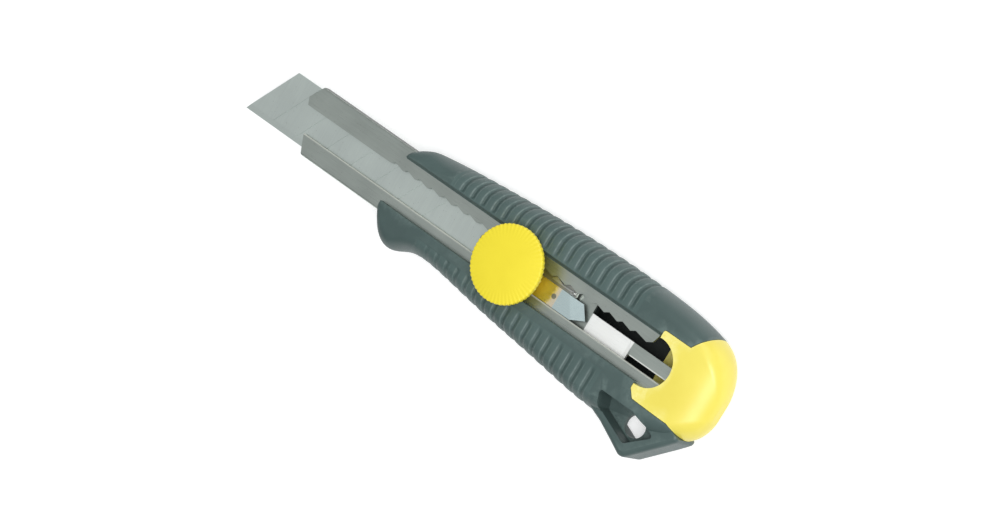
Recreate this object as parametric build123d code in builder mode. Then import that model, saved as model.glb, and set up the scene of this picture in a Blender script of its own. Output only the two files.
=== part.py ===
from build123d import *
import math
import os

os.makedirs("parts", exist_ok=True)

# Screw-lock snap-off knife, lying on its flat back with the lock wheel up.
# +X runs forward along the blade, +Y towards the cutting edge, +Z out of the
# wheel's face. The origin is on the flat back, below the channel's centre line.
# All sizes are in millimetres.

# ---------------------------------------------------------------- driving sizes
# Steel channel
CHANNEL_WIDTH = 21.0
SHEET = 0.8
CHANNEL_BOTTOM = 11.6
LIP_TOP = 15.2
LIP_UNDER = LIP_TOP - SHEET
FLOOR_TOP = CHANNEL_BOTTOM + SHEET
CHANNEL_FRONT = 99.7
CHANNEL_REAR = -50.0
SLOT_EDGE = 4.5
CREST_Y = -3.3
VALLEY_Y = -4.2
TOOTH_PITCH = 5.0
TOOTH_COUNT = 20
FIRST_CREST = 63.8
TOOTH_STEEP_RUN = 1.5
LIP_REAR = -39.8

# Blade
BLADE_LENGTH = 100.0
BLADE_WIDTH = 18.0
BLADE_THICKNESS = 0.5
BLADE_TIP_X = 118.2
BLADE_EDGE_Y = 8.5
BLADE_BOTTOM = 13.55
SNAP_ANGLE = 60.0
SEGMENT = 10.0
SCORE_COUNT = 7

# Carriage and lock
WHEEL_X = 10.0
WHEEL_Y = 0.5
WHEEL_RADIUS = 11.85
KNURL_COUNT = 54
CARRIER_BOTTOM = 13.45
CARRIER_TOP = CARRIER_BOTTOM + SHEET
PLATE_TOP = CARRIER_TOP + SHEET
TONGUE_BOTTOM = CARRIER_BOTTOM - SHEET
STUD_RADIUS = 2.5
RUN_CLEARANCE = 0.05
NECK = 4.6

# Handle
HANDLE_TOP = 17.2
TROUGH_SPINE_Y = -7.1
TROUGH_EDGE_Y = 7.4
GRIP_DEPTH = 1.5
GRIP_REAR = -31.0
GRIP_FRONT = 41.5
RIB_PITCH = 4.1
RIB_GROOVE = 1.1
RIB_DEPTH = 0.6
PART_GAP = 0.15
BACK_TRIM = 0.4

# Stations of the outer form: x, spine side y, edge side y, bottom z, top z, corner
STATIONS = [
    (59.7, -9.2, 10.8, 10.8, 16.2, 2.4),
    (58.0, -10.8, 13.4, 9.8, 16.8, 3.4),
    (56.2, -12.0, 15.9, 8.4, 17.0, 4.4),
    (53.8, -13.1, 17.9, 6.4, HANDLE_TOP, 5.0),
    (50.8, -13.6, 18.5, 3.8, HANDLE_TOP, 5.0),
    (47.0, -14.0, 16.7, 1.4, HANDLE_TOP, 5.0),
    (40.0, -14.7, 15.4, -BACK_TRIM, HANDLE_TOP, 5.0),
    (30.0, -15.6, 16.2, -BACK_TRIM, HANDLE_TOP, 5.0),
    (13.0, -16.9, 18.3, -BACK_TRIM, HANDLE_TOP, 5.0),
    (-5.0, -17.8, 20.0, -BACK_TRIM, HANDLE_TOP, 5.0),
    (-18.0, -18.0, 21.4, -BACK_TRIM, HANDLE_TOP, 5.0),
    (-31.0, -17.8, 22.2, -BACK_TRIM, HANDLE_TOP, 5.0),
    (-44.0, -17.0, 20.8, -BACK_TRIM, HANDLE_TOP, 5.0),
    (-51.0, -15.9, 19.0, -BACK_TRIM, 17.1, 5.4),
    (-56.0, -14.5, 17.2, 0.2, 16.7, 5.8),
    (-60.0, -11.9, 14.8, 1.6, 15.7, 6.0),
    (-63.0, -8.0, 12.0, 3.8, 14.1, 5.4),
    (-64.6, -4.3, 8.8, 6.0, 12.4, 3.6),
    (-65.2, -1.2, 5.8, 7.6, 10.8, 1.8),
]

# Lanyard tab
TAB_BOTTOM = 2.6
TAB_TOP = 15.0
WEB_BOTTOM = 6.9
WEB_TOP = 8.7
LANYARD_X = -44.9
LANYARD_Y = 19.3
LANYARD_RADIUS = 3.4


def export(part, node):
    """Label one finished piece and write it as its own STEP file."""
    part.label = node
    export_step(part, f"parts/{node}.step")


def form_section(spine, edge, bottom, top, corner):
    """Draw one cross-section of the handle: flat top and back, elliptical flanks."""
    middle = bottom + 0.5 * (top - bottom)
    Line((spine + corner, top), (edge - corner, top))
    Line((spine + corner, bottom), (edge - corner, bottom))
    EllipticalCenterArc((edge - corner, middle), corner, top - middle, 0, arc_size=90)
    EllipticalCenterArc((spine + corner, middle), corner, top - middle, 90, arc_size=90)
    EllipticalCenterArc((spine + corner, middle), corner, middle - bottom, 180, arc_size=90)
    EllipticalCenterArc((edge - corner, middle), corner, middle - bottom, 270, arc_size=90)


def form_at(x):
    """Interpolate the outer form between its stations."""
    for ahead, behind in zip(STATIONS, STATIONS[1:]):
        if ahead[0] >= x >= behind[0]:
            share = (ahead[0] - x) / (ahead[0] - behind[0])
            return [a + share * (b - a) for a, b in zip(ahead[1:], behind[1:])]
    raise ValueError(f"no handle at x = {x}")


def lofted_form(stations, inset):
    """Loft the outer form through the stations, shrunk by the inset, and trim its back flat."""
    with BuildPart() as form:
        for x, spine, edge, bottom, top, corner in stations:
            with BuildSketch(Plane.YZ.offset(x)):
                with BuildLine():
                    form_section(spine + inset, edge - inset, bottom + inset, top - inset, corner)
                make_face()
        loft()
        with Locations((0, 0, inset - 10)):
            Box(160, 80, 20, mode=Mode.SUBTRACT)
    return form.part


outer_form = lofted_form(STATIONS, 0.0)
grip_floor = lofted_form([station for station in STATIONS if abs(station[0]) < 52], GRIP_DEPTH)


# ---------------------------------------------------------------- blade channel
# outline of the folded channel seen from above, with its slanted mouth
HALF_CHANNEL = CHANNEL_WIDTH / 2
CHANNEL_PLAN = [
    (CHANNEL_REAR, -HALF_CHANNEL),
    (CHANNEL_FRONT - 3.0, -HALF_CHANNEL),
    (CHANNEL_FRONT - 2.4, -HALF_CHANNEL + 1.4),
    (CHANNEL_FRONT, -5.6),
    (92.2, HALF_CHANNEL),
    (CHANNEL_REAR, HALF_CHANNEL),
]


def slot_outline():
    """Opening between the lips: straight on the edge side, toothed on the spine side."""
    points = [(CHANNEL_FRONT + 1, SLOT_EDGE), (CHANNEL_FRONT + 1, CREST_Y)]
    for tooth in range(TOOTH_COUNT):
        crest = FIRST_CREST - tooth * TOOTH_PITCH
        points.append((crest, CREST_Y))
        points.append((crest - TOOTH_STEEP_RUN, VALLEY_Y))
    points.append((LIP_REAR + 2.6, CREST_Y))
    points.append((LIP_REAR + 0.8, CREST_Y - 1.0))
    points.append((LIP_REAR, CREST_Y - 3.2))
    points.append((LIP_REAR, -CHANNEL_WIDTH / 2 + SHEET))
    points.append((CHANNEL_REAR - 1, -CHANNEL_WIDTH / 2 + SHEET))
    points.append((CHANNEL_REAR - 1, SLOT_EDGE))
    return points


RAIL_TOP = FLOOR_TOP + 0.15
RIDGE_TOP = 13.1
RAIL_SPINE_Y = -0.8
RAIL_EDGE_Y = 5.6
RIDGE_Y = 2.9
RAIL_FRONT = -19.2
WINDOW_FRONT = -17.0
WINDOW_REAR = -48.6
WINDOW_SPINE_Y = -7.6
RIDGE_START = -31.8
BARB_REAR = 45.0
BARB_FRONT = 50.0
BARB_Y = 5.0
BARB_WIDTH = 3.0
BARB_DROP = 0.8

with BuildPart() as blade_channel:
    with BuildSketch(Plane.XY.offset(CHANNEL_BOTTOM)):
        with BuildLine():
            Polyline(*CHANNEL_PLAN, close=True)
        make_face()
    extrude(amount=LIP_TOP - CHANNEL_BOTTOM)
    long_folds = blade_channel.edges().filter_by(Axis.X).group_by(Axis.Z)
    fillet(long_folds[0] + long_folds[-1], radius=0.9)
    # inside of the folded sheet
    with BuildSketch(Plane.XY.offset(FLOOR_TOP)):
        with Locations(((CHANNEL_FRONT + CHANNEL_REAR) / 2, 0)):
            Rectangle(CHANNEL_FRONT - CHANNEL_REAR + 4, CHANNEL_WIDTH - 2 * SHEET)
    extrude(amount=LIP_UNDER - FLOOR_TOP, mode=Mode.SUBTRACT)
    with BuildSketch(Plane.XY.offset(LIP_UNDER - 0.2)):
        with BuildLine():
            Polyline(*slot_outline(), close=True)
        make_face()
    extrude(amount=SHEET + 0.4, mode=Mode.SUBTRACT)
    # broken edge along the straight lip
    lengthwise = blade_channel.edges().filter_by(Axis.X)
    lip_edges = lengthwise.filter_by_position(Axis.Y, SLOT_EDGE - 0.1, SLOT_EDGE + 0.1)
    chamfer(lip_edges.sort_by(Axis.Z)[-1:], length=0.25)
    # raised rail stamped in the floor behind the slider's rearmost tongue position
    with BuildSketch(Plane.XY.offset(FLOOR_TOP - 0.2)):
        with Locations(((RAIL_FRONT + CHANNEL_REAR) / 2, (RAIL_SPINE_Y + RAIL_EDGE_Y) / 2)):
            Rectangle(RAIL_FRONT - CHANNEL_REAR, RAIL_EDGE_Y - RAIL_SPINE_Y)
    extrude(amount=RAIL_TOP - FLOOR_TOP + 0.2)
    # the rail's rear part rises to a ridge through a hipped front
    with BuildSketch(Plane.YZ.offset(CHANNEL_REAR)):
        with BuildLine():
            Polyline(
                (RAIL_SPINE_Y, RAIL_TOP - 0.1),
                (RAIL_SPINE_Y, RAIL_TOP),
                (RIDGE_Y, RIDGE_TOP),
                (RAIL_EDGE_Y, RAIL_TOP),
                (RAIL_EDGE_Y, RAIL_TOP - 0.1),
                close=True,
            )
        make_face()
    extrude(amount=RIDGE_START - CHANNEL_REAR)
    with BuildSketch(Plane.XZ.offset(-CHANNEL_WIDTH / 2)):
        with BuildLine():
            Polyline(
                (RIDGE_START + 0.1, RAIL_TOP),
                (RIDGE_START - 2.4, RIDGE_TOP + 0.02),
                (RIDGE_START + 0.1, RIDGE_TOP + 0.02),
                close=True,
            )
        make_face()
    extrude(amount=CHANNEL_WIDTH, mode=Mode.SUBTRACT)
    # long windows on both sides of the rail
    with BuildSketch(Plane.XY.offset(CHANNEL_BOTTOM - 1)):
        with Locations(((WINDOW_FRONT + WINDOW_REAR) / 2, (RAIL_SPINE_Y + WINDOW_SPINE_Y) / 2)):
            Rectangle(WINDOW_FRONT - WINDOW_REAR, RAIL_SPINE_Y - WINDOW_SPINE_Y)
        with Locations((-40.2, (RIDGE_Y + RAIL_EDGE_Y) / 2 + 0.05)):
            Rectangle(14.4, RAIL_EDGE_Y - RIDGE_Y - 0.1)
    extrude(amount=3.0, mode=Mode.SUBTRACT)
    # barbs lanced out of the floor, which lock the channel in the handle
    for side in (-BARB_Y, BARB_Y):
        with BuildSketch(Plane.XZ.offset(-side - BARB_WIDTH / 2)):
            with BuildLine():
                Polyline(
                    (BARB_REAR, CHANNEL_BOTTOM + 0.1),
                    (BARB_FRONT, CHANNEL_BOTTOM + 0.1),
                    (BARB_REAR, CHANNEL_BOTTOM - BARB_DROP),
                    close=True,
                )
            make_face()
        extrude(amount=BARB_WIDTH)
export(blade_channel.part, "blade_channel")


# ---------------------------------------------------------------- handle pieces
def cap_outline(gap):
    """Plan of the rear region that belongs to the end cap, grown by the gap."""
    return [
        (-50.8 + gap, -9.4 - gap),
        (-56.6 + gap, -19.0),
        (-70.0, -19.0),
        (-70.0, 18.0 + gap),
        (-56.0, 12.1 + gap),
        (-50.8 + gap, 12.0 + gap),
    ]


WING_ROUND = 0.7


def wing_outline(gap):
    """Plan of the cap's top plate, which reaches forward over the channel's lips."""
    return [
        (-41.2 + gap, -9.4 - gap),
        (-51.2, -9.4 - gap),
        (-51.2, 12.0 + gap),
        (-43.4 + gap, 11.8 + gap),
        (-41.4 + gap, 9.4),
    ]


# the lanyard tab grows out of the edge flank
TAB_PLAN = [
    (-27.0, 10.0),
    (-27.0, 19.4),
    (-32.2, 21.2),
    (-37.1, 22.9),
    (-43.4, 25.9),
    (-48.2, 28.3),
    (-57.8, 18.4),
    (-61.0, 14.9),
    (-59.4, 10.0),
]

# recess round the lanyard hole
POCKET_PLAN = [
    (-33.4, 14.7),
    (-45.5, 14.7),
    (-50.6, 16.2),
    (-54.2, 18.0),
    (-47.0, 24.2),
    (-35.2, 19.6),
]


SPINE_GRIP_Y = -8.4
EDGE_GRIP_Y = 10.2
TAB_RIM = 1.5

with BuildPart() as grip_zone_spine:
    with Locations(((GRIP_REAR + GRIP_FRONT) / 2, SPINE_GRIP_Y - 10, HANDLE_TOP / 2)):
        Box(GRIP_FRONT - GRIP_REAR, 20, HANDLE_TOP + 4)

with BuildPart() as grip_zone_edge:
    with Locations(((GRIP_REAR + GRIP_FRONT) / 2, EDGE_GRIP_Y + 10, HANDLE_TOP / 2)):
        Box(GRIP_FRONT - GRIP_REAR, 20, HANDLE_TOP + 4)


def grip_piece(zone):
    """Soft grip: the skin of the outer form inside one zone, before its ribs are cut."""
    with BuildPart() as grip:
        add(outer_form)
        add(zone, mode=Mode.INTERSECT)
        add(grip_floor, mode=Mode.SUBTRACT)
    return grip.part


def ribbed(grip):
    """Cut the grooves between the ribs."""
    rib_count = int((GRIP_FRONT - GRIP_REAR) / RIB_PITCH)
    with BuildPart() as result:
        add(grip)
        for rib in range(1, rib_count + 1):
            x = GRIP_FRONT - rib * RIB_PITCH
            spine, edge, bottom, top, corner = form_at(x)
            with BuildSketch(Plane.YZ.offset(x)):
                with Locations((0, HANDLE_TOP / 2)):
                    Rectangle(60, 40)
                with BuildLine():
                    form_section(
                        spine + RIB_DEPTH, edge - RIB_DEPTH, bottom + RIB_DEPTH, top - RIB_DEPTH, corner
                    )
                make_face(mode=Mode.SUBTRACT)
            extrude(amount=RIB_GROOVE, mode=Mode.SUBTRACT)
    return result.part


plain_grip_spine = grip_piece(grip_zone_spine.part)
plain_grip_edge = grip_piece(grip_zone_edge.part)
export(ribbed(plain_grip_spine), "grip_spine")
export(ribbed(plain_grip_edge), "grip_edge")

CAVITY_HALF = 8.0
CAVITY_BOTTOM = 2.6
CAVITY_TOP = 9.4
CAVITY_FRONT = 48.0

with BuildPart() as lanyard_tab:
    with BuildSketch(Plane.XY.offset(TAB_BOTTOM)) as tab_sketch:
        with BuildLine():
            Polyline(*TAB_PLAN, close=True)
        make_face()
        fillet(tab_sketch.vertices().sort_by(Axis.Y)[-1:], radius=2.6)
        fillet(tab_sketch.vertices().sort_by(Axis.X)[:1], radius=1.6)
    extrude(amount=TAB_TOP - TAB_BOTTOM)
    flat_sides = lanyard_tab.faces().filter_by(Axis.Z)
    outer_rims = [edge for edge in flat_sides.edges() if edge.center().Y > 15 and edge.center().X < -30]
    fillet(outer_rims, radius=TAB_RIM)

with BuildPart() as handle_core:
    add(outer_form)
    # lanyard tab with its pockets and hole
    add(lanyard_tab.part)
    with BuildSketch(Plane.XY.offset(WEB_TOP)) as upper_pocket:
        with BuildLine():
            Polyline(*POCKET_PLAN, close=True)
        make_face()
        fillet(upper_pocket.vertices(), radius=0.8)
    extrude(amount=HANDLE_TOP, mode=Mode.SUBTRACT)
    with BuildSketch(Plane.XY.offset(WEB_BOTTOM)) as lower_pocket:
        with BuildLine():
            Polyline(*POCKET_PLAN, close=True)
        make_face()
        fillet(lower_pocket.vertices(), radius=0.8)
    extrude(amount=-HANDLE_TOP, mode=Mode.SUBTRACT)
    with Locations((LANYARD_X, LANYARD_Y, (WEB_TOP + WEB_BOTTOM) / 2)):
        Cylinder(LANYARD_RADIUS, HANDLE_TOP, mode=Mode.SUBTRACT)
    # seats of the soft grips
    add(plain_grip_spine, mode=Mode.SUBTRACT)
    add(plain_grip_edge, mode=Mode.SUBTRACT)
    # passage for the steel channel and the open trough above its lips
    with Locations((0, 0, (CHANNEL_BOTTOM + LIP_TOP) / 2)):
        Box(140, CHANNEL_WIDTH + 0.1, LIP_TOP - CHANNEL_BOTTOM + 0.1, mode=Mode.SUBTRACT)
    with Locations((0, (TROUGH_SPINE_Y + TROUGH_EDGE_Y) / 2, LIP_TOP + 5)):
        Box(140, TROUGH_EDGE_Y - TROUGH_SPINE_Y, 10, mode=Mode.SUBTRACT)
    # sloping wall of the trough on the spine side
    with BuildSketch(Plane.YZ.offset(-70)):
        with BuildLine():
            Polyline(
                (TROUGH_SPINE_Y - 0.1, LIP_TOP + 0.1),
                (SPINE_GRIP_Y + 0.1, HANDLE_TOP + 0.1),
                (TROUGH_SPINE_Y + 1, HANDLE_TOP + 0.1),
                (TROUGH_SPINE_Y + 1, LIP_TOP + 0.1),
                close=True,
            )
        make_face()
    extrude(amount=140, mode=Mode.SUBTRACT)
    # relief below the channel's windows
    with Locations(((WINDOW_FRONT + WINDOW_REAR) / 2, -1.0, CHANNEL_BOTTOM)):
        Box(WINDOW_FRONT - WINDOW_REAR, 13.6, 6.0, mode=Mode.SUBTRACT)
    # pockets for the channel's barbs
    for side in (-BARB_Y, BARB_Y):
        with Locations(((BARB_REAR + BARB_FRONT) / 2, side, CHANNEL_BOTTOM - BARB_DROP / 2)):
            Box(BARB_FRONT - BARB_REAR + 0.6, BARB_WIDTH + 0.4, BARB_DROP + 0.6, mode=Mode.SUBTRACT)
    # cored-out hollow below the channel, open to the rear
    with Locations(((CAVITY_FRONT - 80) / 2, 0, (CAVITY_BOTTOM + CAVITY_TOP) / 2)):
        Box(CAVITY_FRONT + 80, 2 * CAVITY_HALF, CAVITY_TOP - CAVITY_BOTTOM, mode=Mode.SUBTRACT)
    # room for the end cap
    with BuildSketch(Plane.XY.offset(-1)):
        with BuildLine():
            Polyline(*cap_outline(PART_GAP), close=True)
        make_face()
    extrude(amount=HANDLE_TOP + 2, mode=Mode.SUBTRACT)
    with BuildSketch(Plane.XY.offset(LIP_TOP)) as wing_seat:
        with BuildLine():
            Polyline(*wing_outline(PART_GAP), close=True)
        make_face()
        fillet(wing_seat.vertices().sort_by(Axis.X)[-3:], radius=WING_ROUND + PART_GAP)
    extrude(amount=HANDLE_TOP, mode=Mode.SUBTRACT)
export(handle_core.part, "handle_core")

CAP_HOLLOW_FRONT = -40.0
CAP_HOLLOW_REAR = -56.6
CAP_HOLLOW_TOP = 14.2
CAP_FLOOR = 2.3
CAP_SLOT_REAR = -53.0
PLUG_WIDTH = 2 * CAVITY_HALF - 0.6
U_RADIUS = 7.5
U_CENTRE_X = -41.9
U_CENTRE_Y = 0.5

with BuildPart() as end_cap:
    with BuildSketch(Plane.XY.offset(-1)):
        with BuildLine():
            Polyline(*cap_outline(0.0), close=True)
        make_face()
    extrude(amount=HANDLE_TOP + 2)
    with BuildSketch(Plane.XY.offset(LIP_TOP + 0.1)) as wings:
        with BuildLine():
            Polyline(*wing_outline(0.0), close=True)
        make_face()
        fillet(wings.vertices().sort_by(Axis.X)[-3:], radius=WING_ROUND)
    extrude(amount=HANDLE_TOP)
    add(outer_form, mode=Mode.INTERSECT)
    # U cut-out over the channel
    with BuildSketch(Plane.XY.offset(LIP_TOP - 0.5)):
        with Locations((U_CENTRE_X, U_CENTRE_Y)):
            Circle(U_RADIUS)
    extrude(amount=HANDLE_TOP, mode=Mode.SUBTRACT)
    # hollow inside, which takes the rear end of the channel
    with Locations(((CAP_HOLLOW_REAR + CAP_HOLLOW_FRONT) / 2, -0.3, (CAP_FLOOR + CAP_HOLLOW_TOP) / 2)):
        Box(CAP_HOLLOW_FRONT - CAP_HOLLOW_REAR, 18.6, CAP_HOLLOW_TOP - CAP_FLOOR, mode=Mode.SUBTRACT)
    with Locations(((CAP_SLOT_REAR + CAP_HOLLOW_FRONT) / 2, 0, (CHANNEL_BOTTOM + LIP_TOP) / 2)):
        Box(
            CAP_HOLLOW_FRONT - CAP_SLOT_REAR,
            CHANNEL_WIDTH + 0.2,
            LIP_TOP - CHANNEL_BOTTOM + 0.2,
            mode=Mode.SUBTRACT,
        )
    # plug tongue that slides into the handle's hollow
    with Locations((-54.8, 0, 2.6)):
        Box(7.4, PLUG_WIDTH, 3.6)
    with Locations((-45.6, 0, 3.6)):
        Box(11.2, PLUG_WIDTH, 1.6)
export(end_cap.part, "end_cap")


# ---------------------------------------------------------------- blade
BEVEL = 1.9
SNAP_RUN = BLADE_WIDTH / math.tan(math.radians(SNAP_ANGLE))
SCORE_WIDTH = 0.16
SCORE_DEPTH = 0.12
blade_top = BLADE_BOTTOM + BLADE_THICKNESS
blade_spine_y = BLADE_EDGE_Y - BLADE_WIDTH
blade_rear = BLADE_TIP_X - BLADE_LENGTH
PIN_X = 24.2
PIN_Y = -0.5
PIN_RADIUS = 1.5
PIN_TOP = 14.2

with BuildPart() as snap_blade:
    with BuildSketch(Plane.YZ.offset(blade_rear)):
        with BuildLine():
            Polyline(
                (blade_spine_y, BLADE_BOTTOM),
                (blade_spine_y, blade_top),
                (BLADE_EDGE_Y - BEVEL, blade_top),
                (BLADE_EDGE_Y, BLADE_BOTTOM + 0.29),
                (BLADE_EDGE_Y, BLADE_BOTTOM + 0.21),
                (BLADE_EDGE_Y - BEVEL, BLADE_BOTTOM),
                close=True,
            )
        make_face()
    extrude(amount=BLADE_LENGTH)
    with BuildSketch(Plane.XY.offset(BLADE_BOTTOM - 1)):
        with BuildLine():
            Polyline(
                (BLADE_TIP_X, BLADE_EDGE_Y),
                (BLADE_TIP_X - SNAP_RUN, blade_spine_y),
                (BLADE_TIP_X - SNAP_RUN, blade_spine_y - 2),
                (BLADE_TIP_X + 4, blade_spine_y - 2),
                (BLADE_TIP_X + 4, BLADE_EDGE_Y),
                close=True,
            )
        make_face()
    extrude(amount=3, mode=Mode.SUBTRACT)
    # score lines where the segments snap off
    with BuildSketch(Plane.XY.offset(blade_top - SCORE_DEPTH)):
        for score in range(1, SCORE_COUNT + 1):
            shift = BLADE_TIP_X - score * SEGMENT
            with BuildLine():
                Polyline(
                    (shift + 0.6, BLADE_EDGE_Y + 1.04),
                    (shift + 0.6 + SCORE_WIDTH, BLADE_EDGE_Y + 1.04),
                    (shift - SNAP_RUN - 0.6 + SCORE_WIDTH, blade_spine_y - 1.04),
                    (shift - SNAP_RUN - 0.6, blade_spine_y - 1.04),
                    close=True,
                )
            make_face()
    extrude(amount=1, mode=Mode.SUBTRACT)
    with Locations((PIN_X, PIN_Y, blade_top)):
        Cylinder(PIN_RADIUS + 0.1, 4, mode=Mode.SUBTRACT)
export(snap_blade.part, "snap_blade")

# ---------------------------------------------------------------- carriage
CARRIER_REAR = -10.8
CARRIER_FRONT = 17.6
PLATE_SPINE_Y = -1.8
PLATE_EDGE_Y = 4.3
RIVET_RADIUS = 0.8
REAR_RIVET = (-5.0, 1.25)
FRONT_RIVET = (19.4, 1.25)
SPRING_X = -9.5
SPRING_Y = -2.55
SPRING_PIN_RADIUS = 0.3

with BuildPart() as blade_carrier:
    with BuildSketch(Plane.XY.offset(CARRIER_BOTTOM)):
        with Locations(((CARRIER_REAR + CARRIER_FRONT) / 2, 0)):
            RectangleRounded(CARRIER_FRONT - CARRIER_REAR, 18.6, 1.5)
    extrude(amount=SHEET)
    with BuildSketch(Plane.XY.offset(TONGUE_BOTTOM)):
        with Locations((21.5, 0)):
            RectangleRounded(23.0, 12.0, 2.0)
    extrude(amount=SHEET)
    with Locations((WHEEL_X, WHEEL_Y, CARRIER_BOTTOM)):
        Box(NECK, NECK, 4, mode=Mode.SUBTRACT)
    with Locations((WHEEL_X, WHEEL_Y, TONGUE_BOTTOM)):
        Cylinder(4.6, 2 * SHEET, mode=Mode.SUBTRACT)
    with Locations((PIN_X, PIN_Y, TONGUE_BOTTOM)):
        Cylinder(1.0, 4, mode=Mode.SUBTRACT)
    with Locations((*REAR_RIVET, CARRIER_BOTTOM)):
        Cylinder(RIVET_RADIUS, 4, mode=Mode.SUBTRACT)
    with Locations((SPRING_X, SPRING_Y, CARRIER_BOTTOM)):
        Cylinder(SPRING_PIN_RADIUS, 4, mode=Mode.SUBTRACT)
export(blade_carrier.part, "blade_carrier")

with BuildPart() as blade_pin:
    with Locations((PIN_X, PIN_Y, (TONGUE_BOTTOM + CARRIER_BOTTOM) / 2)):
        Cylinder(1.0, SHEET)
    with Locations((PIN_X, PIN_Y, (CARRIER_BOTTOM + PIN_TOP) / 2)):
        Cylinder(PIN_RADIUS, PIN_TOP - CARRIER_BOTTOM)
export(blade_pin.part, "blade_pin")

# the plate's tail is folded down along a slanted line behind the carrier
FOLD_START = Vector(-9.6, -1.7, PLATE_TOP)
FOLD_END = Vector(-13.6, 3.9, PLATE_TOP)
TAIL_SLOPE = 17.0
TAIL_SHEET = 0.5
fold_line = (FOLD_END - FOLD_START).normalized()
level_out = fold_line.cross(Vector(0, 0, -1))
tail_out = level_out * math.cos(math.radians(TAIL_SLOPE)) - Vector(0, 0, math.sin(math.radians(TAIL_SLOPE)))
tail_plane = Plane(FOLD_START, x_dir=fold_line, z_dir=fold_line.cross(tail_out))

with BuildPart() as slider_plate:
    with BuildSketch(Plane.XY.offset(CARRIER_TOP)):
        with BuildLine():
            Polyline(
                (-9.0, PLATE_SPINE_Y),
                (-9.6, -1.7),
                (-13.6, 3.9),
                (-13.0, PLATE_EDGE_Y),
                (21.0, PLATE_EDGE_Y),
                (24.0, 2.6),
                (24.0, -0.1),
                (21.0, PLATE_SPINE_Y),
                close=True,
            )
        make_face()
    extrude(amount=SHEET)
    with BuildSketch(tail_plane):
        with BuildLine():
            Polyline((0, -0.4), (6.88, -0.4), (6.88, 0), (7.5, 3.9), (2.6, 3.7), (0, 0), close=True)
        make_face()
    extrude(amount=-TAIL_SHEET)
    with Locations((WHEEL_X, WHEEL_Y, CARRIER_TOP)):
        Box(NECK, NECK, 4, mode=Mode.SUBTRACT)
    with Locations((*REAR_RIVET, CARRIER_TOP), (*FRONT_RIVET, CARRIER_TOP)):
        Cylinder(RIVET_RADIUS, 4, mode=Mode.SUBTRACT)
export(slider_plate.part, "slider_plate")

with BuildPart() as carrier_rivets:
    # the rear rivet holds the plate on the carrier, the front one sits in the plate alone
    with Locations((*REAR_RIVET, (CARRIER_BOTTOM + PLATE_TOP) / 2)):
        Cylinder(RIVET_RADIUS, PLATE_TOP - CARRIER_BOTTOM)
    with Locations((*FRONT_RIVET, (CARRIER_TOP + PLATE_TOP) / 2)):
        Cylinder(RIVET_RADIUS, PLATE_TOP - CARRIER_TOP)
export(carrier_rivets.part, "carrier_rivets")

# the eye of the spring finger turns on this pin
with BuildPart() as spring_pin:
    with Locations((SPRING_X, SPRING_Y, (CARRIER_BOTTOM + PLATE_TOP) / 2)):
        Cylinder(SPRING_PIN_RADIUS, PLATE_TOP - CARRIER_BOTTOM)
export(spring_pin.part, "spring_pin")

NOSE_VALLEY = FIRST_CREST - 13 * TOOTH_PITCH - TOOTH_STEEP_RUN
with BuildPart() as detent_spring:
    with BuildSketch(Plane.XY.offset(LIP_UNDER - 0.05)):
        with BuildLine():
            Polyline(
                (SPRING_X, -3.05),
                (NOSE_VALLEY - 3.1, -2.95),
                (NOSE_VALLEY - 0.15, VALLEY_Y + 0.2),
                (NOSE_VALLEY + 0.1, VALLEY_Y + 0.2),
                (NOSE_VALLEY + 1.1, -2.95),
                (NOSE_VALLEY + 1.1, -2.65),
                (SPRING_X, -2.65),
                close=True,
            )
        make_face()
        with Locations((SPRING_X, SPRING_Y)):
            Circle(SPRING_PIN_RADIUS + RUN_CLEARANCE + 0.25)
            Circle(SPRING_PIN_RADIUS + RUN_CLEARANCE, mode=Mode.SUBTRACT)
    extrude(amount=PLATE_TOP - LIP_UNDER)
export(detent_spring.part, "detent_spring")

# ---------------------------------------------------------------- screw lock
STUD_TOP = 20.6
HEAD_RADIUS = 4.4
WASHER_BOTTOM = LIP_TOP + 0.02
WASHER_THICKNESS = 1.0
WASHER_RADIUS = 6.6
HUB_BOTTOM = WASHER_BOTTOM + WASHER_THICKNESS
INSERT_RADIUS = 3.9
INSERT_TOP = 20.4
HUB_RADIUS = 6.2
WHEEL_UNDER = 17.6
WHEEL_UNDER_RADIUS = 9.6
WHEEL_RIM_BOTTOM = 20.2
WHEEL_RIM_TOP = 22.0
WHEEL_CROWN = 22.9
DOME_RADIUS = 72.0

with BuildPart() as clamp_stud:
    with Locations((WHEEL_X, WHEEL_Y, (TONGUE_BOTTOM + CARRIER_BOTTOM) / 2)):
        Cylinder(HEAD_RADIUS, SHEET)
    with Locations((WHEEL_X, WHEEL_Y, (CARRIER_BOTTOM + PLATE_TOP) / 2)):
        Box(NECK, NECK, PLATE_TOP - CARRIER_BOTTOM)
    with Locations((WHEEL_X, WHEEL_Y, (PLATE_TOP + STUD_TOP) / 2)):
        Cylinder(STUD_RADIUS, STUD_TOP - PLATE_TOP)
    chamfer(clamp_stud.faces().sort_by(Axis.Z)[-1].edges(), length=0.5)
export(clamp_stud.part, "clamp_stud")

with BuildPart() as friction_washer:
    with Locations((WHEEL_X, WHEEL_Y, WASHER_BOTTOM + WASHER_THICKNESS / 2)):
        Cylinder(WASHER_RADIUS, WASHER_THICKNESS)
        Cylinder(STUD_RADIUS + 0.1, WASHER_THICKNESS, mode=Mode.SUBTRACT)
    round_edges = friction_washer.edges().filter_by(GeomType.CIRCLE)
    chamfer(round_edges.group_by(SortBy.RADIUS)[-1], length=0.2)
export(friction_washer.part, "friction_washer")

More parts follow.
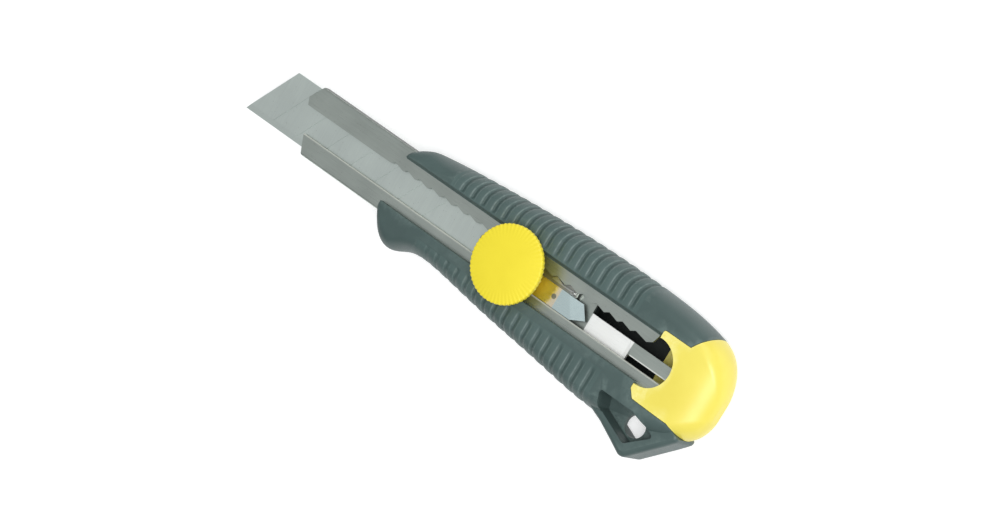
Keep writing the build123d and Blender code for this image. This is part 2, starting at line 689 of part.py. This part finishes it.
with BuildPart() as wheel_insert:
    with Locations((WHEEL_X, WHEEL_Y, (HUB_BOTTOM + INSERT_TOP) / 2)):
        Cylinder(INSERT_RADIUS, INSERT_TOP - HUB_BOTTOM)
        Cylinder(STUD_RADIUS + RUN_CLEARANCE, INSERT_TOP - HUB_BOTTOM, mode=Mode.SUBTRACT)
export(wheel_insert.part, "wheel_insert")

wheel_plane = Plane((WHEEL_X, WHEEL_Y, 0), x_dir=(1, 0, 0), z_dir=(0, -1, 0))
with BuildPart() as lock_wheel:
    with BuildSketch(wheel_plane):
        with BuildLine():
            Polyline(
                (0, INSERT_TOP + 0.8),
                (STUD_RADIUS + 0.3, INSERT_TOP + 0.8),
                (STUD_RADIUS + 0.3, INSERT_TOP),
                (INSERT_RADIUS, INSERT_TOP),
                (INSERT_RADIUS, HUB_BOTTOM),
                (HUB_RADIUS, HUB_BOTTOM),
                (HUB_RADIUS, WHEEL_UNDER),
                (WHEEL_UNDER_RADIUS, WHEEL_UNDER),
                (WHEEL_RADIUS, WHEEL_RIM_BOTTOM),
                (WHEEL_RADIUS, WHEEL_RIM_TOP - 0.5),
                (WHEEL_RADIUS - 0.5, WHEEL_CROWN),
                (0, WHEEL_CROWN),
                close=True,
            )
        make_face()
    revolve(axis=Axis((WHEEL_X, WHEEL_Y, 0), (0, 0, 1)))
    # domed face
    with Locations((WHEEL_X, WHEEL_Y, WHEEL_CROWN - DOME_RADIUS)):
        Sphere(DOME_RADIUS, mode=Mode.INTERSECT)
    # knurled rim
    with BuildSketch(Plane.XY.offset(WHEEL_UNDER - 1)):
        with Locations((WHEEL_X, WHEEL_Y)):
            with PolarLocations(WHEEL_RADIUS + 0.35, KNURL_COUNT):
                Circle(0.55)
    extrude(amount=WHEEL_RIM_TOP - WHEEL_UNDER + 3, mode=Mode.SUBTRACT)
export(lock_wheel.part, "lock_wheel")
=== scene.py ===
import math

import bpy
import numpy as np
from mathutils import Matrix, Vector


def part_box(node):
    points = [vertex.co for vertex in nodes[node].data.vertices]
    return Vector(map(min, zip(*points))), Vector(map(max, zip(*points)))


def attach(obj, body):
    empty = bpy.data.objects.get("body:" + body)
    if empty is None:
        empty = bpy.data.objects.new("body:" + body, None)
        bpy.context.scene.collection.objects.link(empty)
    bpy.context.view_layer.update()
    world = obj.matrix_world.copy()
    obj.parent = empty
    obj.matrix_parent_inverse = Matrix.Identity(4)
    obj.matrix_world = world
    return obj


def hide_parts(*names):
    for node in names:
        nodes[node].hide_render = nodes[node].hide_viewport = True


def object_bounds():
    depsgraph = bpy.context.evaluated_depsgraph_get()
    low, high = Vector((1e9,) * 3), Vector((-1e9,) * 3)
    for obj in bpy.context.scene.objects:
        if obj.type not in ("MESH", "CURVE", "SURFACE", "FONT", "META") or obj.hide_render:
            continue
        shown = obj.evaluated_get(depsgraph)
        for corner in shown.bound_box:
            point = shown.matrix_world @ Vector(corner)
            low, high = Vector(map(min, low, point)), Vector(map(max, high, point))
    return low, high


# Looks, light and camera of the snap-off knife. +X runs forward along the blade, +Y towards
# the cutting edge and +Z out of the lock wheel's face. Blender's unit is the metre.
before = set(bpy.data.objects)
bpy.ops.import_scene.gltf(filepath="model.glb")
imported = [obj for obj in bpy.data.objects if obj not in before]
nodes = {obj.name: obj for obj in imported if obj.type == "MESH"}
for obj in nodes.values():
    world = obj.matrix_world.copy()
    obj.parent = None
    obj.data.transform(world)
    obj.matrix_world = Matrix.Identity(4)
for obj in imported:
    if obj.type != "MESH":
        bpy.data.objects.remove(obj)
cad_low, cad_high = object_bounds()
MM = 0.001


# ------------------------------------------------------------------ material tools
class Shade:
    """One node material, with small helpers that keep the node code short."""

    def __init__(self, name):
        self.mat = bpy.data.materials.new(name)
        self.mat.use_nodes = True
        self.tree = self.mat.node_tree
        self.shader = self.tree.nodes["Principled BSDF"]
        self.place = self.tree.nodes.new("ShaderNodeTexCoord").outputs["Object"]

    def set(self, **values):
        """Set uniform values on the shader's own sockets."""
        for key, value in values.items():
            self.shader.inputs[key.replace("_", " ")].default_value = value

    def link(self, source, target):
        self.tree.links.new(source, target)

    def feed(self, source, socket_name):
        """Link a value to one of the shader's sockets."""
        self.link(source, self.shader.inputs[socket_name])

    def scaled(self, scale):
        """Object coordinates stretched by a scale per axis."""
        node = self.tree.nodes.new("ShaderNodeMapping")
        node.inputs["Scale"].default_value = scale
        self.link(self.place, node.inputs["Vector"])
        return node.outputs[0]

    def noise(self, scale, detail, rough, stretch=(1, 1, 1)):
        node = self.tree.nodes.new("ShaderNodeTexNoise")
        node.inputs["Scale"].default_value = scale
        node.inputs["Detail"].default_value = detail
        node.inputs["Roughness"].default_value = rough
        self.link(self.scaled(stretch), node.inputs["Vector"])
        return node.outputs["Fac"]

    def voronoi(self, scale):
        node = self.tree.nodes.new("ShaderNodeTexVoronoi")
        node.inputs["Scale"].default_value = scale
        self.link(self.place, node.inputs["Vector"])
        return node.outputs["Distance"]

    def ramp(self, source, low, high, start=0.0, end=1.0):
        """Map a value to low at start and high at end."""
        node = self.tree.nodes.new("ShaderNodeMapRange")
        node.inputs["From Min"].default_value = start
        node.inputs["From Max"].default_value = end
        node.inputs["To Min"].default_value = low
        node.inputs["To Max"].default_value = high
        self.link(source, node.inputs["Value"])
        return node.outputs["Result"]

    def mix(self, factor, first, second):
        """Blend two colours, each a tuple or a socket."""
        node = self.tree.nodes.new("ShaderNodeMix")
        node.data_type = "RGBA"
        self.link(factor, node.inputs["Factor"])
        for socket, value in ((node.inputs[6], first), (node.inputs[7], second)):
            if isinstance(value, tuple):
                socket.default_value = (*value, 1.0)
            else:
                self.link(value, socket)
        return node.outputs[2]

    def math(self, kind, first, second):
        """Combine two values, each a number or a socket."""
        node = self.tree.nodes.new("ShaderNodeMath")
        node.operation = kind
        for socket, value in zip(node.inputs, (first, second)):
            if isinstance(value, (int, float)):
                socket.default_value = value
            else:
                self.link(value, socket)
        return node.outputs[0]

    def bump(self, height, distance):
        node = self.tree.nodes.new("ShaderNodeBump")
        node.inputs["Strength"].default_value = 1.0
        node.inputs["Distance"].default_value = distance
        self.link(height, node.inputs["Height"])
        return node.outputs[0]

    def within(self, low, high):
        """1 inside a box given in metres, 0 outside, with a soft border."""
        soft = 0.15 * MM
        split = self.tree.nodes.new("ShaderNodeSeparateXYZ")
        self.link(self.place, split.inputs[0])
        inside = None
        for axis in range(3):
            above = self.ramp(split.outputs[axis], 0.0, 1.0, low[axis] - soft, low[axis] + soft)
            below = self.ramp(split.outputs[axis], 1.0, 0.0, high[axis] - soft, high[axis] + soft)
            inside = above if inside is None else self.math("MULTIPLY", inside, above)
            inside = self.math("MULTIPLY", inside, below)
        return inside

    def attribute(self, name):
        node = self.tree.nodes.new("ShaderNodeAttribute")
        node.attribute_name = name
        return node.outputs["Fac"]

    def convex_edges(self):
        """1 on convex edges, 0 elsewhere."""
        node = self.tree.nodes.new("ShaderNodeNewGeometry")
        return self.ramp(node.outputs["Pointiness"], 0.0, 1.0, 0.52, 0.62)


def plastic(name, colour, dark, rough, grain, grain_depth, wear_and_highlight=None, ribs=False, specular=0.5,
            shade_box=None, shade_colour=(0.006, 0.010, 0.009)):
    """Moulded plastic: slight colour drift, fine sparked texture, paler edges and rib shoulders as painted
    highlight (partly wear on plain edges), and painted shade in hollows and rib valleys.
    """
    s = Shade(name)
    drift = s.noise(70, 3.0, 0.55)
    base = s.mix(s.ramp(drift, 0, 1, 0.32, 0.68), colour, dark)
    # paler edges: on ribbed grips a painted highlight along the rib shoulders, elsewhere convex edges paler
    # from wear and painted highlight
    if wear_and_highlight is not None:
        highlight_and_wear_mask = s.attribute("rib_highlight") if ribs else s.convex_edges()
        patchy = s.ramp(s.noise(900, 3.0, 0.6), 0.35, 1.0, 0.35, 0.6)
        base = s.mix(s.math("MULTIPLY", highlight_and_wear_mask, patchy), base, wear_and_highlight)
    # painted shade darkens the rib valleys
    if ribs:
        base = s.mix(s.math("MULTIPLY", s.attribute("rib_shade"), 0.6), base, (0.035, 0.060, 0.055))
    # painted shade inside a hollow box
    if shade_box is not None:
        base = s.mix(s.within(*shade_box), base, shade_colour)
    s.feed(base, "Base Color")
    fine = s.noise(grain, 4.0, 0.6)
    s.feed(s.ramp(fine, rough - 0.05, rough + 0.07, 0.3, 0.7), "Roughness")
    s.feed(s.bump(fine, grain_depth), "Normal")
    s.set(Specular_IOR_Level=specular)
    return s.mat


def steel(name, colour, dark, rough, stretch, depth, spots=None, painted_light_boxes=()):
    """Sheet steel: brushed lines along the stretch, patchy tone, faint stains and boxes of painted
    highlight, reflection or shade.
    """
    s = Shade(name)
    lines = s.noise(1.0, 5.0, 0.65, stretch)
    patches = s.noise(90, 3.0, 0.5)
    tone = s.math("ADD", s.math("MULTIPLY", lines, 0.6), s.math("MULTIPLY", patches, 0.4))
    base = s.mix(s.ramp(tone, 0, 1, 0.35, 0.65), dark, colour)
    if spots is not None:
        freckles = s.ramp(s.voronoi(700), 1, 0, 0.04, 0.16)
        base = s.mix(s.math("MULTIPLY", freckles, 0.3), base, spots)
    metal = None
    # each box lays a painted highlight, reflection or shade over the steel
    for place, tint, metallic in painted_light_boxes:
        mask = s.within(*place)
        shaded = tuple(0.9 * c for c in tint)
        base = s.mix(mask, base, s.mix(s.ramp(tone, 0, 1, 0.3, 0.7), shaded, tint))
        if metallic < 1:
            share = s.ramp(mask, 1.0, metallic)
            metal = share if metal is None else s.math("MULTIPLY", metal, share)
    if metal is None:
        s.set(Metallic=1.0)
    else:
        s.feed(metal, "Metallic")
    s.feed(base, "Base Color")
    s.feed(s.ramp(lines, rough - 0.08, rough + 0.1, 0.3, 0.7), "Roughness")
    s.feed(s.bump(lines, depth), "Normal")
    return s.mat


# ------------------------------------------------------------------ places with painted highlight, reflection and shade
def zone(x, y, z):
    """Low and high corner in metres of a box given by its three ranges in millimetres."""
    low = tuple(MM * span[0] for span in (x, y, z))
    high = tuple(MM * span[1] for span in (x, y, z))
    return low, high


def in_mm(node):
    """Box of a CAD node in millimetres."""
    low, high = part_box(node)
    return low / MM, high / MM


channel_low, channel_high = in_mm("blade_channel")
carrier_low, carrier_high = in_mm("blade_carrier")
core_rear = in_mm("handle_core")[0].x
lip_top = channel_high.z
floor_top = lip_top - 2.8
channel_length = (channel_low.x, channel_high.x)

# on the channel: painted highlight on the rail behind the slider, along its ridge and along the
# straight lip's edge, and painted shade on the dark outer wall on the spine side
SHEEN_ON_RAIL = zone((-33.0, -17.2), (-0.9, 5.7), (floor_top - 0.3, floor_top + 0.6))
RIDGE_HIGHLIGHT = zone((channel_low.x, -33.8), (2.72, 3.06), (floor_top + 0.3, floor_top + 0.9))
LIP_HIGHLIGHT = zone(channel_length, (4.3, 4.78), (lip_top - 0.9, lip_top + 0.2))
wall_y = (channel_low.y - 1, channel_low.y + 0.25)
SPINE_SIDE_SHADE = zone(channel_length, wall_y, (channel_low.z - 1, lip_top - 0.5))
# painted reflection of the yellow wheel on the slider plate, close to the wheel
carrier_y = (carrier_low.y, carrier_high.y)
WHEEL_REFLECTION = zone((-6.2, carrier_high.x + 1), carrier_y, (carrier_low.z, carrier_high.z + 2))
# painted shade in the hollows of the handle and of the end cap
HANDLE_SHADE = zone((core_rear, 49.0), (-8.9, 8.9), (2.4, floor_top - 0.9))
CAP_SHADE = zone((-56.8, -48.0), (-9.8, 9.2), (4.8, lip_top - 0.6))

# ------------------------------------------------------------------ materials
ALONG_X = (120, 9000, 9000)
ALONG_Y = (9000, 120, 9000)
plain_steel = steel("carrier steel", (0.40, 0.41, 0.39), (0.28, 0.29, 0.27), 0.32, ALONG_X, 0.00002)
# the grip's paler colour is the painted highlight along the rib shoulders
grip_rubber = plastic(
    "grip rubber", (0.076, 0.120, 0.114), (0.059, 0.096, 0.091), 0.52, 6500, 0.00005,
    wear_and_highlight=(0.22, 0.28, 0.27), ribs=True, specular=0.4,
)
materials = {
    # the handle's paler edges are wear and painted highlight, its dark hollow is painted shade
    "handle_core": plastic(
        "handle plastic", (0.062, 0.100, 0.095), (0.050, 0.082, 0.078), 0.46, 5200, 0.00004,
        wear_and_highlight=(0.12, 0.17, 0.16), shade_box=HANDLE_SHADE,
    ),
    "grip_spine": grip_rubber,
    "grip_edge": grip_rubber,
    # the cap's paler edges are wear and painted highlight, the dark yellow in its hollow is painted shade
    "end_cap": plastic(
        "cap plastic", (0.80, 0.69, 0.112), (0.76, 0.64, 0.092), 0.33, 3800, 0.00002,
        wear_and_highlight=(0.86, 0.78, 0.25), shade_box=CAP_SHADE, shade_colour=(0.22, 0.18, 0.03),
    ),
    "lock_wheel": plastic(
        "wheel plastic", (0.84, 0.70, 0.028), (0.79, 0.65, 0.022), 0.50, 4200, 0.00003,
    ),
    "blade_channel": steel(
        "channel steel", (0.50, 0.55, 0.51), (0.39, 0.43, 0.40), 0.34, ALONG_X, 0.00002,
        spots=(0.22, 0.22, 0.20),
        # painted highlight on the rail, ridge and lip edge, and painted shade on the spine-side wall
        painted_light_boxes=(
            (SHEEN_ON_RAIL, (0.90, 0.91, 0.89), 0.25),
            (RIDGE_HIGHLIGHT, (0.85, 0.86, 0.82), 0.3),
            (LIP_HIGHLIGHT, (0.62, 0.64, 0.58), 0.2),
            (SPINE_SIDE_SHADE, (0.05, 0.05, 0.05), 1),
        ),
    ),
    "snap_blade": steel(
        "blade steel", (0.70, 0.77, 0.73), (0.61, 0.67, 0.64), 0.40, ALONG_Y, 0.000015,
        spots=(0.33, 0.34, 0.32),
    ),
    "slider_plate": steel(
        "slider chrome", (0.70, 0.84, 0.84), (0.62, 0.75, 0.76), 0.16, ALONG_X, 0.000004,
        # a warm painted reflection of the yellow wheel near the wheel
        painted_light_boxes=((WHEEL_REFLECTION, (0.98, 0.86, 0.66), 1),),
    ),
    "blade_carrier": plain_steel,
    "blade_pin": plain_steel,
    "carrier_rivets": plain_steel,
    "spring_pin": plain_steel,
    "detent_spring": steel(
        "spring steel", (0.58, 0.59, 0.58), (0.44, 0.45, 0.44), 0.28, ALONG_X, 0.00001,
    ),
    "clamp_stud": steel(
        "stud steel", (0.44, 0.44, 0.44), (0.33, 0.33, 0.33), 0.34, ALONG_Y, 0.00002,
    ),
    "friction_washer": steel(
        "washer steel", (0.50, 0.51, 0.51), (0.38, 0.39, 0.39), 0.32, ALONG_Y, 0.00002,
    ),
    "wheel_insert": steel(
        "insert brass", (0.72, 0.52, 0.22), (0.58, 0.40, 0.15), 0.30, ALONG_Y, 0.00002,
    ),
}

for name, piece in nodes.items():
    piece.data.materials.clear()
    piece.data.materials.append(materials[name])


# ------------------------------------------------------------------ mesh tools
def mesh_piece(name, points, faces, material, smooth_angle):
    """Make a mesh object from points in metres, shaded smooth except across sharp edges."""
    mesh = bpy.data.meshes.new(name)
    mesh.from_pydata([tuple(p) for p in points], [], faces)
    mesh.validate()
    mesh.materials.append(material)
    mesh.polygons.foreach_set("use_smooth", [True] * len(mesh.polygons))
    mesh.set_sharp_from_angle(angle=math.radians(smooth_angle))
    piece = bpy.data.objects.new(name, mesh)
    bpy.context.scene.collection.objects.link(piece)
    return piece


def grid_faces(rows, columns, first=0, flip=False, wrap=False):
    """Quads of a grid of points stored row by row."""
    faces = []
    for i in range(rows - 1):
        for j in range(columns if wrap else columns - 1):
            k = (j + 1) % columns
            quad = (
                first + i * columns + j,
                first + i * columns + k,
                first + (i + 1) * columns + k,
                first + (i + 1) * columns + j,
            )
            faces.append(quad[::-1] if flip else quad)
    return faces


# ------------------------------------------------------------------ ribbed soft grips
RIB_PITCH = 4.1
GRIP_THICKNESS = 1.3
SLICES_ALONG = 400
POINTS_ROUND = 84
FLAT_POINTS = POINTS_ROUND // 8

# the handle's outer form at some places along it: x, spine y, edge y, bottom z, top z, corner, in mm
FORM = np.array([
    (53.8, -13.1, 17.9, 6.4, 17.2, 5.0),
    (50.8, -13.6, 18.5, 3.8, 17.2, 5.0),
    (47.0, -14.0, 16.7, 1.4, 17.2, 5.0),
    (40.0, -14.7, 15.4, -0.4, 17.2, 5.0),
    (30.0, -15.6, 16.2, -0.4, 17.2, 5.0),
    (13.0, -16.9, 18.3, -0.4, 17.2, 5.0),
    (-5.0, -17.8, 20.0, -0.4, 17.2, 5.0),
    (-18.0, -18.0, 21.4, -0.4, 17.2, 5.0),
    (-31.0, -17.8, 22.2, -0.4, 17.2, 5.0),
    (-44.0, -17.0, 20.8, -0.4, 17.2, 5.0),
    (-51.0, -15.9, 19.0, -0.4, 17.1, 5.4),
    (-56.0, -14.5, 17.2, 0.2, 16.7, 5.8),
])[::-1]


def natural_spline(knots, values, where):
    """Natural cubic spline through the values, one column at a time."""
    n = len(knots)
    gaps = np.diff(knots)
    system = np.zeros((n, n))
    right = np.zeros((n, values.shape[1]))
    system[0, 0] = system[-1, -1] = 1
    for i in range(1, n - 1):
        system[i, i - 1 : i + 2] = gaps[i - 1], 2 * (gaps[i - 1] + gaps[i]), gaps[i]
        right[i] = 6 * ((values[i + 1] - values[i]) / gaps[i] - (values[i] - values[i - 1]) / gaps[i - 1])
    second = np.linalg.solve(system, right)
    spot = np.clip(np.searchsorted(knots, where) - 1, 0, n - 2)
    gap = gaps[spot][:, None]
    a = (knots[spot + 1] - where)[:, None] / gap
    b = 1 - a
    bend = (a**3 - a) * second[spot] + (b**3 - b) * second[spot + 1]
    return a * values[spot] + b * values[spot + 1] + bend * gap**2 / 6


def flank(x, side, inner_y, inset):
    """Points of one flank at each x, from the inner top edge round to the inner bottom edge, in mm."""
    form = natural_spline(FORM[:, 0], FORM[:, 1:], x)
    outer = form[:, 0 if side < 0 else 1] - side * inset
    bottom = form[:, 2] + inset
    top = form[:, 3] - inset
    corner = form[:, 4]
    centre = outer - side * corner
    middle = (bottom + top) / 2
    turn = np.linspace(math.pi / 2, -math.pi / 2, POINTS_ROUND - 2 * FLAT_POINTS)
    rows = []
    for i in range(len(x)):
        ys = np.concatenate([
            np.linspace(inner_y, centre[i], FLAT_POINTS, endpoint=False),
            centre[i] + side * corner[i] * np.cos(turn),
            np.linspace(centre[i], inner_y, FLAT_POINTS + 1)[1:],
        ])
        zs = np.concatenate([
            np.full(FLAT_POINTS, top[i]),
            middle[i] + (top[i] - middle[i]) * np.sin(turn),
            np.full(FLAT_POINTS, bottom[i]),
        ])
        rows.append(np.stack([np.full(len(ys), x[i]), ys, np.maximum(zs, inset)], axis=1))
    return np.array(rows)


def ribbed_grip(name, node, side, inner_y):
    """A soft grip with rounded ribs across its flank, built inside its CAD solid's place."""
    low, high = in_mm(node)
    rear, front = low.x, high.x
    x = np.linspace(rear, front, SLICES_ALONG)
    outside = flank(x, side, inner_y, 0.0)
    inside = flank(x, side, inner_y, GRIP_THICKNESS)
    across = np.gradient(outside, axis=1)
    along = np.gradient(outside, axis=0)
    normal = np.cross(along, across) * side
    normal /= np.linalg.norm(normal, axis=2, keepdims=True)
    from_front = front - outside[:, :, 0]
    from_rear = outside[:, :, 0] - rear
    phase = (from_front / RIB_PITCH) % 1.0
    # a narrow valley with a steep front side and a longer rear side, and a slightly crowned bar
    gap = np.minimum(phase / 0.25, (1 - phase) / 0.15)
    valley = np.exp(-(gap**2) * 1.6)
    crown = 0.16 * (1 - np.sin(math.pi * np.clip(phase, 0, 1)))
    # the ribs run out softly at all four borders
    run = np.linspace(0, 1, POINTS_ROUND)[None, :]
    fade = np.clip(run / 0.05, 0, 1) * np.clip((1 - run) / 0.1, 0, 1)
    fade = fade * np.clip(from_front / 2.0, 0, 1) * np.clip(from_rear / 2.0, 0, 1)
    fade = fade * fade * (3 - 2 * fade)
    # the edge side's ribs are shallower and die out towards the finger guard
    if side > 0:
        fade = fade * 0.7 * np.clip(0.2 + from_front / 35, 0, 1)
    else:
        fade = fade * 0.85
    outside = outside - normal * ((0.72 * valley + crown) * fade)[:, :, None]
    # weights for the material: painted highlight lines on both shoulders of a rib, and painted shade in the
    # valley
    front_highlight = 0.8 * np.exp(-(((phase - 0.85) / 0.035) ** 2))
    rear_highlight = 0.5 * np.exp(-(((phase - 0.32) / 0.035) ** 2))
    valley_shade = np.exp(-(gap**2) * 3.0)
    layers = {"rib_highlight": (front_highlight + rear_highlight) * fade, "rib_shade": valley_shade * fade}
    points = np.concatenate([outside.reshape(-1, 3), inside.reshape(-1, 3)]) * MM
    rows, columns = SLICES_ALONG, POINTS_ROUND
    back = rows * columns
    flip = side > 0
    faces = grid_faces(rows, columns, 0, flip) + grid_faces(rows, columns, back, not flip)
    rim = [i * columns for i in range(rows)]
    rim += [(rows - 1) * columns + j for j in range(1, columns)]
    rim += [i * columns + columns - 1 for i in range(rows - 2, -1, -1)]
    rim += [j for j in range(columns - 2, 0, -1)]
    for a, b in zip(rim, rim[1:] + rim[:1]):
        quad = (a, b, back + b, back + a)
        faces.append(quad[::-1] if flip else quad)
    piece = mesh_piece(name, points, faces, grip_rubber, 60)
    for label, weight in layers.items():
        layer = piece.data.attributes.new(label, "FLOAT", "POINT")
        values = np.concatenate([weight.ravel(), np.zeros(weight.size)])
        layer.data.foreach_set("value", values.astype(np.float32))
    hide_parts(node)
    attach(piece, "handle")


ribbed_grip("ribbed_grip_spine", "grip_spine", -1, -8.4)
ribbed_grip("ribbed_grip_edge", "grip_edge", 1, 10.2)

# ------------------------------------------------------------------ knurled lock wheel
FLUTES = 54
STEPS_PER_FLUTE = 10
DOME_DIAMETER = 144.0
FLUTE_DIP = 0.07
RIM_PINCH = 0.16
FLUTE_START = 0.62
FLUTE_END = 0.955
RIM_ROUND = 0.5


def wheel_profile(radius, top, hub_low):
    """Half profile from face to hub, in mm: radius, height, dip of the flutes, pinch of the rim."""
    profile = []
    for r in np.linspace(0.10, 0.60, 9) * radius:
        profile.append((r, top - r * r / DOME_DIAMETER, 0.0, 0.0))
    for r in np.linspace(FLUTE_START, FLUTE_END, 14) * radius:
        share = (r / radius - FLUTE_START) / (FLUTE_END - FLUTE_START)
        profile.append((r, top - r * r / DOME_DIAMETER, FLUTE_DIP * share, 0.0))
    round_radius = radius - RIM_ROUND
    round_height = top - 0.9 - RIM_ROUND
    for turn in np.linspace(0.15, 1, 5) * math.pi / 2:
        reach = round_radius + RIM_ROUND * math.sin(turn)
        height = round_height + RIM_ROUND * math.cos(turn)
        profile.append((reach, height, FLUTE_DIP * math.cos(turn), RIM_PINCH))
    rim_low = top - 2.7
    profile += [
        (radius, rim_low + 0.3, 0.0, RIM_PINCH),
        (radius - 0.2, rim_low, 0.0, 0.14),
        (radius - 1.2, rim_low - 1.2, 0.0, 0.08),
        (9.7, top - 5.2, 0.0, 0.0),
        (9.4, top - 5.3, 0.0, 0.0),
        (6.6, top - 5.3, 0.0, 0.0),
        (6.2, top - 5.5, 0.0, 0.0),
        (6.2, hub_low + 0.2, 0.0, 0.0),
        (6.0, hub_low, 0.0, 0.0),
        (4.0, hub_low, 0.0, 0.0),
        (4.0, hub_low + 0.6, 0.0, 0.0),
    ]
    return profile


def fluted_wheel():
    """The lock wheel: domed face, shallow radial flutes and a scalloped rim, with its hub below."""
    low, high = in_mm("lock_wheel")
    centre = (low + high) / 2
    profile = wheel_profile((high.x - low.x) / 2, high.z, low.z)
    turns = FLUTES * STEPS_PER_FLUTE
    angle = np.linspace(0, 2 * math.pi, turns, endpoint=False)
    wave = 0.5 - 0.5 * np.cos(FLUTES * angle)
    rings = []
    for r, z, dip, pinch in profile:
        reach = r - pinch * wave
        rings.append(np.stack([reach * np.cos(angle), reach * np.sin(angle), z - dip * wave], axis=1))
    points = np.concatenate([np.array(rings).reshape(-1, 3), [(0, 0, high.z)]])
    points = (points + (centre.x, centre.y, 0)) * MM
    faces = grid_faces(len(profile), turns, 0, True, True)
    tip = len(profile) * turns
    faces += [(tip, j, (j + 1) % turns) for j in range(turns)]
    last = (len(profile) - 1) * turns
    faces.append(tuple(last + j for j in range(turns))[::-1])
    piece = mesh_piece("fluted_wheel", points, faces, materials["lock_wheel"], 40)
    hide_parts("lock_wheel")
    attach(piece, "wheel")


fluted_wheel()

# ------------------------------------------------------------------ floor
FLOOR_HALF = 4
FLOOR_DROP = -0.0002
signs = [(-1, -1), (1, -1), (1, 1), (-1, 1)]
corners = [(FLOOR_HALF * x, FLOOR_HALF * y, FLOOR_DROP) for x, y in signs]
floor_mesh = bpy.data.meshes.new("floor")
floor_mesh.from_pydata(corners, [], [(0, 1, 2, 3)])
floor = bpy.data.objects.new("floor", floor_mesh)
bpy.context.scene.collection.objects.link(floor)
paper = Shade("floor paper")
paper.set(Base_Color=(0.75, 0.75, 0.75, 1), Roughness=0.9, Specular_IOR_Level=0.1)
paper.set(Emission_Color=(1, 1, 1, 1), Emission_Strength=0.45)
floor_mesh.materials.append(paper.mat)

# ------------------------------------------------------------------ light
# a cool white surround, dim at the horizon and brighter overhead
world = bpy.data.worlds.new("studio")
bpy.context.scene.world = world
world.use_nodes = True
tree = world.node_tree
sky = tree.nodes["Background"]
coords = tree.nodes.new("ShaderNodeTexCoord")
split = tree.nodes.new("ShaderNodeSeparateXYZ")
tree.links.new(coords.outputs["Generated"], split.inputs[0])
level = tree.nodes.new("ShaderNodeMapRange")
level.inputs["From Min"].default_value = 0.0
level.inputs["From Max"].default_value = 0.9
level.inputs["To Min"].default_value = 0.16
level.inputs["To Max"].default_value = 0.62
tree.links.new(split.outputs["Z"], level.inputs["Value"])
tree.links.new(level.outputs["Result"], sky.inputs["Strength"])
sky.inputs["Color"].default_value = (0.97, 0.99, 1.0, 1)


def soft_light(name, place, aim, size, power):
    """A square studio light at a place, facing a point."""
    data = bpy.data.lights.new(name, "AREA")
    data.shape = "RECTANGLE"
    data.size = size
    data.size_y = size
    data.energy = power
    lamp = bpy.data.objects.new(name, data)
    lamp.location = place
    lamp.rotation_mode = "QUATERNION"
    lamp.rotation_quaternion = (Vector(place) - Vector(aim)).to_track_quat("Z", "Y")
    bpy.context.scene.collection.objects.link(lamp)


middle = (cad_low + cad_high) / 2
soft_light("key", (-0.50, -0.05, 0.85), middle, 0.45, 6.4)
soft_light("fill", (-0.10, -0.70, 0.60), middle, 0.5, 1.5)

# ------------------------------------------------------------------ camera
camera_data = bpy.data.cameras.new("camera")
camera_data.lens = 114.71
camera_data.sensor_width = 36.0
camera_data.clip_start = 0.05
camera_data.clip_end = 20.0
camera = bpy.data.objects.new("camera", camera_data)
bpy.context.scene.collection.objects.link(camera)
right = Vector((-0.72376, -0.50596, -0.46923))
back = Vector((-0.46375, -0.14689, 0.87370))
right = (right - back * right.dot(back) / back.length_squared).normalized()
back.normalize()
up = back.cross(right)
axes = Matrix((right, up, back)).transposed()
camera.matrix_world = Matrix.Translation((-0.40955, -0.13266, 0.81611)) @ axes.to_4x4()
bpy.context.scene.camera = camera
bpy.context.scene.view_settings.view_transform = "Standard"
